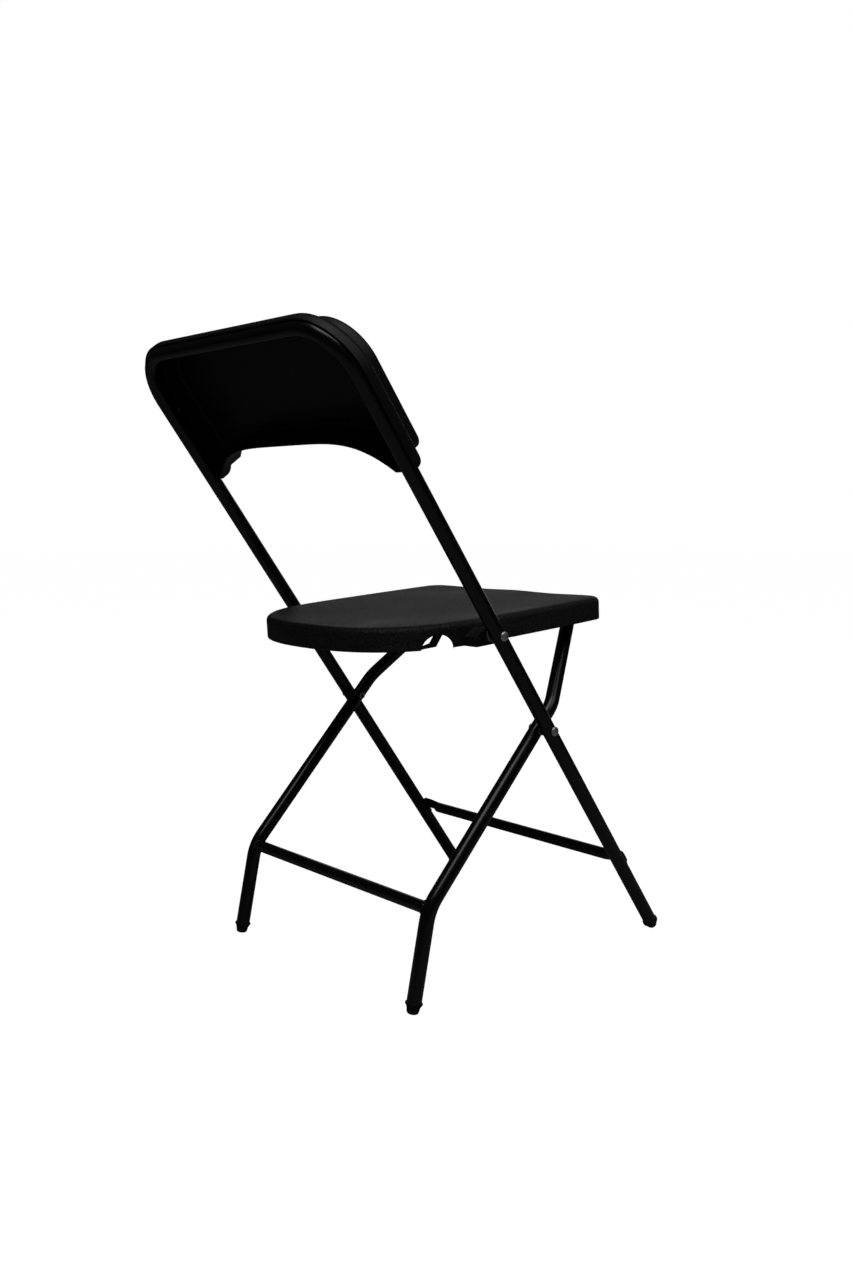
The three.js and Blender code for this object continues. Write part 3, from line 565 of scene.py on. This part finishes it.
def seat_outline(inset):
    """The plan, this far in from the edge: a bowed front, round corners, and a rear half whose sides obey
    (across / half width) ** 2.275 + (share of the length) ** 4 = 1."""
    wide, front = seat_half_width - inset, seat_front_half_width - inset
    corner, rear = seat_front_corner - inset, seat_rear + seat_widest - inset
    bow_x = np.linspace(0, front - corner, bow_points, endpoint=False)
    bow = np.stack([bow_x, -seat_front + inset + bow_depth * (bow_x / front) ** 2], -1)
    corner_y = -seat_front + inset + bow_depth * ((front - corner) / front) ** 2 + corner
    angle = np.linspace(-math.pi / 2, 0, 14, endpoint=False)
    turn = np.stack([front - corner + corner * np.cos(angle), corner_y + corner * np.sin(angle)], -1)
    share = np.linspace(0, 1, 16, endpoint=False)
    flank_x = wide - (wide - front) * (1 - share) ** 2
    flank = np.stack([flank_x, corner_y - (seat_widest + corner_y) * share], -1)
    notch = notch_at - notch_radius * np.cos(np.linspace(0, math.pi, 25))
    stations = np.concatenate([
        np.linspace(-seat_widest, notch_at - 0.024, 18), [notch_at - notch_radius - 0.0001], notch,
        [notch_at + notch_radius + 0.0001], np.linspace(notch_at + 0.0225, 0.126, 9)])
    share = (stations + seat_widest) / (seat_rear + seat_widest)
    side = np.stack([wide * (1 - share ** 4) ** (1 / side_power), -seat_widest + rear * share], -1)
    angle = np.linspace(math.asin(share[-1] ** 2), math.pi / 2, 27)[1:]
    end_x = wide * np.maximum(np.cos(angle), 0) ** (2 / side_power)
    end = np.stack([end_x, -seat_widest + rear * np.sin(angle) ** 0.5], -1)
    end[-1, 0] = 0
    half = np.concatenate([bow, turn, flank, side, end])
    return np.concatenate([half, half[-2:0:-1] * [-1, 1]])


def dish(across, behind):
    """How far the top lies below its flat plane: a shallow bowl, two channels for the thighs that deepen
    to the front, and a drop of a millimetre to the sides."""
    bowl_across = np.clip(1 - (across / 0.160) ** 2, 0, 1) ** 1.5
    bowl_behind = np.clip(1 - ((behind - 0.020) / 0.150) ** 2, 0, 1) ** 1.5
    forward = eased((0.02 - behind) / 0.25)
    channels = (1 - np.cos(2 * math.pi * across / 0.172)) / 2 * np.clip(1.25 - np.abs(across) / 0.150, 0, 1)
    between = np.exp(-(across / 0.060) ** 2)
    sides = 0.0010 * np.abs(across / seat_half_width)
    return -0.0055 * (bowl_across * bowl_behind) - forward * (0.0030 * channels + 0.0022 * between) - sides


def seat_shell():
    """Rings from the middle of the top, over the edge, down the skirt, round its lip, and back underneath."""
    rings = []
    middle = np.array([0.0, (seat_rear - seat_front) / 2])
    inner = seat_outline(2 * seat_edge)
    edge = seat_outline(0.0)
    foot = np.where(
        np.abs(edge[:, 1] - notch_at) <= notch_radius,
        notch_centre + np.sqrt(np.maximum(notch_radius ** 2 - (edge[:, 1] - notch_at) ** 2, 0)),
        skirt_foot)
    rim_dish = dish(edge[:, 0], edge[:, 1])

    def add(plan, above):
        rings.append(on_seat(plan[:, 0], plan[:, 1], above))

    for share in np.linspace(0.03, 1, 26):
        plan = middle + (inner - middle) * share
        add(plan, seat_top + dish(*plan.T))
    for inset in (0.0135, 0.011):
        plan = seat_outline(inset)
        add(plan, seat_top + dish(*plan.T))
    for angle in np.linspace(0.1, math.pi / 2, 10):
        plan = seat_outline(seat_edge * (1 - math.sin(angle)))
        add(plan, seat_top - seat_edge * (1 - math.cos(angle)) + rim_dish * (1 - 0.5 * angle))
    shoulder = seat_top - seat_edge + rim_dish * (1 - math.pi / 4)
    for share in np.linspace(0.12, 1, 9):
        add(edge, shoulder + (foot + 0.0009 - shoulder) * share)
    for inset, rise in ((0.0003, 0.0003), (0.0010, 0.0), (0.0021, 0.0), (0.0028, 0.0004), (0.0030, 0.0010)):
        add(seat_outline(inset), foot + rise)
    inner_wall = seat_outline(pan_wall)
    ceiling = seat_top - pan_wall - 0.004 + rim_dish
    for share in np.linspace(0.15, 1, 6):
        add(inner_wall, foot + 0.0010 + (ceiling - foot - 0.0010) * share)
    for inset, rise in ((0.0045, 0.0026), (0.0075, 0.004), (0.012, 0.004)):
        plan = seat_outline(inset)
        add(plan, seat_top - pan_wall - 0.004 + rise + dish(*plan.T))
    for share in np.linspace(1, 0.03, 16):
        plan = middle + (inner - middle) * share
        add(plan, seat_top - pan_wall + dish(*plan.T))
    return np.stack(rings), False


def rounded(corners, radius, steps=4):
    """A polygon with its corners rounded: each corner gives points between the two ends of its curve."""
    corners = np.asarray(corners, float)
    before, after = np.roll(corners, 1, 0) - corners, np.roll(corners, -1, 0) - corners
    before = corners + radius * before / np.linalg.norm(before, axis=1)[:, None]
    after = corners + radius * after / np.linalg.norm(after, axis=1)[:, None]
    t = np.linspace(0, 1, steps)[:, None, None]
    curve = (1 - t) ** 2 * before + 2 * t * (1 - t) * corners + t ** 2 * after
    return curve.transpose(1, 0, 2).reshape(-1, 2)


def block(side):
    """The pivot block: a six-cornered side view carried outwards, and eased in at its outer face."""
    corners = [(-0.025, -0.012), (0.025, -0.012), (0.025, 0.0), (0.012, 0.009), (-0.012, 0.009), (-0.025, 0.0)]
    outline = rounded(corners, 0.0016)
    across = np.array([0.1601, 0.166, 0.172, 0.178, 0.184, 0.1872, 0.1880, 0.1883])
    inset = np.array([0, 0, 0, 0, 0, 0, 0.0003, 0.0011])
    centre = np.array([0.0, -0.0025])
    shrink = 1 - inset[:, None, None] / 0.0145
    plan = centre + (outline[None] - centre) * shrink
    return on_seat(side * across[:, None], plan[..., 0], plan[..., 1]), False


def rib(start, end, depth_from, depth_to):
    """A thin upright wall between two points of the plan, with its lower edge rounded."""
    half = 0.0013
    run = np.linspace(0, 1, 24)[:, None]
    start, length = np.array(start), np.array(end) - np.array(start)
    plan = start + length * run
    heading = length / np.linalg.norm(length)
    square = np.array([-heading[1], heading[0]])
    section = np.array([(-half, 1), (-half, 0.12), (-0.5 * half, 0), (0.5 * half, 0), (half, 0.12), (half, 1)])
    top = depth_from + dish(*plan.T) - 0.001
    above = depth_to + (top[:, None] - depth_to) * section[None, :, 1]
    places = plan[:, None] + section[None, :, :1] * square
    return on_seat(places[..., 0], places[..., 1], above), False


def seat_ribs():
    """Ribs across and along the underside, each as long as the pan is there."""
    walls = []
    inner = seat_outline(0.0026)
    right_half = inner[: len(inner) // 2 + 1]
    for behind in (-0.1942, -0.1245, -0.0548, 0.0462, 0.0895):
        half = np.interp(behind, right_half[bow_points:, 1], right_half[bow_points:, 0])
        walls.append(rib((-half, behind), (half, behind), seat_top - pan_wall + 0.001, 0.0075))
    for across in (-0.035, 0.035):
        walls.append(rib((across, -0.232), (across, 0.128), seat_top - pan_wall + 0.001, 0.0075))
    return walls


def guide_web(side):
    """A slanted web inboard of the notch and outboard of the guide. Its front edge moves back 0.84 for
    each unit of depth, and its foot runs on to the rear."""
    above = np.array([0.0152, 0.008, 0.002, -0.005, -0.0095, -0.0108, -0.0118, -0.0140, -0.0150, -0.0154])
    front = 0.0326 - (above + 0.0150) * 0.84
    rear = front + 0.0150 + 0.0120 * eased((-0.0095 - above) / 0.0022)
    plan = rounded([(-1, -0.5), (1, -0.5), (1, 0.5), (-1, 0.5)], 0.12)
    across = 0.1250 + 0.0022 * plan[None, :, 1]
    behind = (front + rear)[:, None] / 2 + (rear - front)[:, None] / 2 * plan[None, :, 0]
    return on_seat(side * across, behind, above[:, None]), False


make_piece(
    "seat_moulding", [seat_shell(), block(-1), block(1), guide_web(-1), guide_web(1), *seat_ribs()],
    seat_plastic.material, "seat", ["seat_pan"])

# ---------------------------------------------------------------- the backrest
# A second black moulding, pushed over the top of the frame from the front. Its rim wraps the tube, a
# raised pad stands ahead of the rim, and its lower edge is arched between two ears.

back_plastic = Finish("back_plastic", Specular_IOR_Level=0.42)
back_pebbles = back_plastic.node(
    "ShaderNodeTexVoronoi", {"feature": "SMOOTH_F1"},
    {"Vector": back_plastic.place, "Scale": 900.0, "Smoothness": 0.8, "Randomness": 1.0}, "Distance")
back_patches = back_plastic.noise(14.0, 3.0)
back_plastic.finish(
    back_plastic.blend(
        back_plastic.spread(back_pebbles, 0.15, 0.75) * 0.5 + back_patches * 0.2,
        (0.004, 0.004, 0.0042), (0.017, 0.017, 0.0172)),
    0.42 + 0.12 * back_patches,
    (1.0 - back_pebbles) * 0.8 + back_plastic.noise(1700.0) * 0.25,
    0.0001,
)

back_half_width = 0.2132
back_top = frame_length + 0.012
ear_bottom = back_top - 0.1985
ear_radius = 0.010
arch_half_width = back_half_width - 0.0372
arch_height = 0.0435
arch_power = 4.6
back_wall = 0.0025
rim_front = 0.015
rim_back = -0.001
pad_front = 0.039
pad_inset = 0.0175
pad_foot_inset = 0.011
pad_edge = 0.006


def back_outline(sides, foot, arch):
    """The outline, with its sides and top, the foot of its ears, and its arch each moved in by so much.
    The arch's height is 1 - (across / half width) ** 4.6 of its full height."""
    half, top = back_half_width - sides, back_top - sides
    corner, bottom = 0.077 - sides, ear_bottom + foot
    arch_foot, arch_half = ear_bottom + arch, arch_half_width + arch
    arch_end = arch_half * (1 - np.clip((bottom - arch_foot) / arch_height, 0, 1)) ** (1 / arch_power)
    x = -arch_end * np.cos(np.linspace(0, math.pi, 60))
    pieces = [np.stack([x, arch_foot + arch_height * (1 - np.abs(x / arch_half) ** arch_power)], -1)]
    foot_x = np.linspace(arch_end, half - ear_radius, 8)[1:-1]
    pieces.append(np.stack([foot_x, np.full(6, bottom)], -1))
    for centre, radius, start, end, steps in (
        ((half - ear_radius, bottom + ear_radius), ear_radius, -90, 0, 9),
        ((half - corner, top - corner), corner, 0, 90, 26),
        ((corner - half, top - corner), corner, 90, 180, 26),
        ((ear_radius - half, bottom + ear_radius), ear_radius, 180, 270, 9),
    ):
        pieces.append(np.array(arc(centre, radius, start, end, steps)))
        if end == 0:
            y = np.linspace(bottom + ear_radius, top - corner, 16)[1:-1]
            pieces.append(np.stack([np.full(14, half), y], -1))
        if end == 90:
            x = np.linspace(half - corner, corner - half, 34)[1:-1]
            pieces.append(np.stack([x, np.full(32, top)], -1))
        if end == 180:
            y = np.linspace(top - corner, bottom + ear_radius, 16)[1:-1]
            pieces.append(np.stack([np.full(14, -half), y], -1))
    pieces.append(np.stack([-foot_x[::-1], np.full(6, bottom)], -1))
    return np.concatenate(pieces)


def hollow(plan):
    """The pad's front is a little hollow from side to side."""
    return -0.0022 * np.clip(1 - (plan[:, 0] / 0.185) ** 2, 0, 1) ** 1.5


def back_shell():
    """Rings from the middle of the pad's front, over its edge, down to the rim, round the rim's back edge,
    and inside to the middle of the recess."""
    rings = []
    middle = np.array([0.0, ear_bottom + 0.112])

    def add(insets, ahead):
        plan = back_outline(*insets)
        rings.append(on_slope(plan[:, 0], plan[:, 1], ahead))

    def add_face(insets, shares, ahead):
        rim = back_outline(*insets)
        for share in shares:
            plan = middle + (rim - middle) * share
            rings.append(on_slope(plan[:, 0], plan[:, 1], ahead + hollow(plan)))

    face = (pad_inset + 0.011, pad_foot_inset + 0.011, 0.011)
    add_face(face, np.linspace(0.04, 1, 24), pad_front)
    for turn in np.linspace(0.12, math.pi / 2, 9):
        step = pad_edge * (1 - math.sin(turn))
        add((pad_inset + step, pad_foot_inset + step, step), pad_front - pad_edge * (1 - math.cos(turn)))
    for ahead in (0.0255, 0.0215, 0.0175):
        add((pad_inset, pad_foot_inset, 0.0), ahead)
    for step, ahead in ((0.0, 0.0160), (0.0007, 0.0153), (0.0016, 0.0150)):
        add((pad_inset - step, pad_foot_inset - step, 0.0), ahead)
    for step, ahead in (
        (0.009, 0.0151), (0.0050, 0.0149), (0.0028, 0.0140), (0.0013, 0.0124), (0.0004, 0.0103), (0.0, 0.0080),
    ):
        add((step, step, 0.0), ahead)
    for ahead in (0.0050, 0.0020, -0.0004):
        add((0.0, 0.0, 0.0), ahead)
    for step in (0.0006, 0.0018):
        add((step, step, step), rim_back)
    for ahead in (0.0, 0.004, 0.008, 0.0115):
        add((back_wall, back_wall, back_wall), ahead)
    for step in (0.0040, 0.0110, 0.0180):
        add((step, min(step, pad_foot_inset + 0.0010), back_wall), rim_front - back_wall)
    inside = (pad_inset + back_wall, pad_foot_inset + back_wall, back_wall)
    for ahead in (0.0135, 0.018, 0.023, 0.0285):
        add(inside, ahead)
    for turn in np.linspace(math.pi / 2, 0.12, 6)[1:]:
        step = 0.0035 * (1 - math.sin(turn))
        add(tuple(value + step for value in inside), pad_front - back_wall - 0.0035 * (1 - math.cos(turn)))
    add_face(face, np.linspace(1, 0.04, 18), pad_front - back_wall)
    return np.stack(rings), False


make_piece("back_moulding", [back_shell()], back_plastic.material, "frame", ["backrest_shell"])

# ---------------------------------------------------------------- rivets, washers and bushes
# Bright zinc-plated steel. Domed rivets hold the seat and the legs to the uprights, with thin washers
# between; the leg rivets are tubular and rolled over inside. Two small ones hold the backrest.
# The holes that they pass through aren't cut in the tubes and the mouldings here.

zinc = Finish("zinc_plate", Metallic=0.9)
bloom = zinc.noise(140.0, 4.0)
brushed = zinc.noise(1.0, 3.0, zinc.stretched((300, 2600, 2600)))
zinc.finish(
    zinc.blend(zinc.spread(bloom, 0.35, 0.7), (0.90, 0.91, 0.92), (0.78, 0.79, 0.79)),
    0.3 + 0.14 * bloom + 0.08 * brushed,
    brushed * 0.6 + bloom * 0.5,
    0.00002,
)


def dome(seat, radius, height):
    """A domed head: a short upright band, then a flattened quarter round."""
    angle = np.radians(np.linspace(8, 84, 9))
    band = 0.0009
    return [
        (radius - 0.0003, seat), (radius, seat + 0.0003), (radius, seat + band),
        *[(radius * c, seat + band + (height - band) * s) for c, s in zip(np.cos(angle) ** 0.9, np.sin(angle))],
        (0.0003, seat + height)]


def across_piece(profile, side, pivot):
    """A profile turned about a line across the chair, on one side of it."""
    return turned(profile, (0.0, pivot[1], pivot[2]), (side, 0, 0)), False


head_seat = frame_half_width + tube_radius + 0.0002
leg_face = leg_half_width - tube_radius
for side, hand in ((-1, "right"), (1, "left")):
    seat_rivet = [
        (0.0004, 0.1579), (0.0049, 0.1579), (0.0054, 0.1584), (0.0054, 0.1597), (0.0032, 0.1597),
        (0.0032, head_seat), *dome(head_seat, 0.0061, 0.0034)]
    make_piece(
        f"pivot_rivet_seat_{hand}", [across_piece(seat_rivet, side, pivots["seat_fold"])],
        zinc.material, "frame", [f"seat_pivot_rivet_{hand}"])
    leg_rivet = [
        (0.0003, leg_face + 0.006), (0.0022, leg_face + 0.006), (0.0022, leg_face - 0.0008),
        *arc((0.0036, leg_face - 0.0006), 0.0013, 180, 360, 9), (0.0049, leg_face - 0.0001),
        (0.0032, leg_face - 0.0001), (0.0032, head_seat), *dome(head_seat, 0.0061, 0.0034)]
    make_piece(
        f"pivot_rivet_leg_{hand}", [across_piece(leg_rivet, side, pivots["leg_fold"])],
        zinc.material, "frame", [f"leg_pivot_rivet_{hand}"])
    for name, node, pivot, inner, outer, start, end, body in (
        ("washer_seat", "seat_pivot_washer", "seat_fold", 0.0036, 0.0080, 0.1885, 0.1914, "frame"),
        ("washer_leg", "leg_pivot_washer", "leg_fold", 0.0036, 0.0080, 0.1909, 0.1914, "frame"),
        ("bush_seat", "seat_pivot_bush", "seat_fold", 0.0036, 0.0055, 0.1604, 0.1880, "seat"),
    ):
        edge = min(0.0004, (end - start) / 3)
        outline = [
            (inner, start), (outer - edge, start), (outer, start + edge),
            (outer, end - edge), (outer - edge, end), (inner, end)]
        skin, _ = across_piece(outline, side, pivots[pivot])
        make_piece(f"{name}_{hand}", [(skin, True)], zinc.material, body, [f"{node}_{hand}"])
    rivet_along = ear_bottom + 0.103
    back_rivet = [(0.0003, 0.0033), (0.0024, 0.0033), (0.0024, 0.0152), *dome(0.0152, 0.005, 0.0032)]
    origin = on_slope(side * frame_half_width, rivet_along, 0.0)
    make_piece(
        f"back_rivet_{hand}", [(turned(back_rivet, origin, slope_out), False)],
        zinc.material, "frame", [f"backrest_rivet_{hand}"])

# ---------------------------------------------------------------- the slide under the seat
# A steel bar joins the tops of the rear legs. Nylon rollers on it run in two folded steel guides that
# are screwed to the underside of the seat, so the legs swing in as the seat tips up.

bar_centre = pivots["leg_fold"] + leg_up * bar_along_leg
make_piece(
    "cross_bar", [straight_bar(bar_half_width - 0.006, bar_centre, 0.005, 28)],
    zinc.material, "rear_legs", ["slide_bar"])

roller_nylon = Finish("roller_nylon", Specular_IOR_Level=0.45)
roller_cloud = roller_nylon.noise(260.0, 3.0)
roller_nylon.finish(
    roller_nylon.blend(roller_cloud, (0.030, 0.030, 0.031), (0.044, 0.044, 0.045)),
    0.34 + 0.2 * roller_cloud, roller_cloud, 0.00004)

for side, hand in ((-1, "right"), (1, "left")):
    low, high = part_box(f"slide_roller_{hand}")
    middle = abs(low.x + high.x) / 2
    outline = [
        (0.0053, middle - 0.006), (0.0072, middle - 0.006), (0.0080, middle - 0.0052),
        (0.0080, middle + 0.0052), (0.0072, middle + 0.006), (0.0053, middle + 0.006)]
    skin, _ = across_piece(outline, side, bar_centre)
    make_piece(
        f"roller_{hand}", [(skin, True)],
        roller_nylon.material, "rear_legs", [f"slide_roller_{hand}"])
    track = frame["nodes"][f"guide_track_{hand}"]
    track.data.materials.clear()
    track.data.materials.append(zinc.material)
    for end in ("front", "rear"):
        low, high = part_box(f"track_screw_{end}_{hand}")
        middle = (low + high) / 2
        seat_up = np.array([0, math.sin(seat_tilt), math.cos(seat_tilt)])
        top = np.array(middle) - seat_up * 0.0051
        screw = [
            (0.0004, 0.0006), (0.0010, 0.0005), (0.0013, 0.0), (0.0024, 0.0001), (0.0034, 0.0009),
            (0.0036, 0.0019), (0.0018, 0.0020), (0.0018, 0.0085), (0.0002, 0.0101)]
        make_piece(
            f"screw_{end}_{hand}", [(turned(screw, top, seat_up, 24), False)],
            zinc.material, "seat", [f"track_screw_{end}_{hand}"])
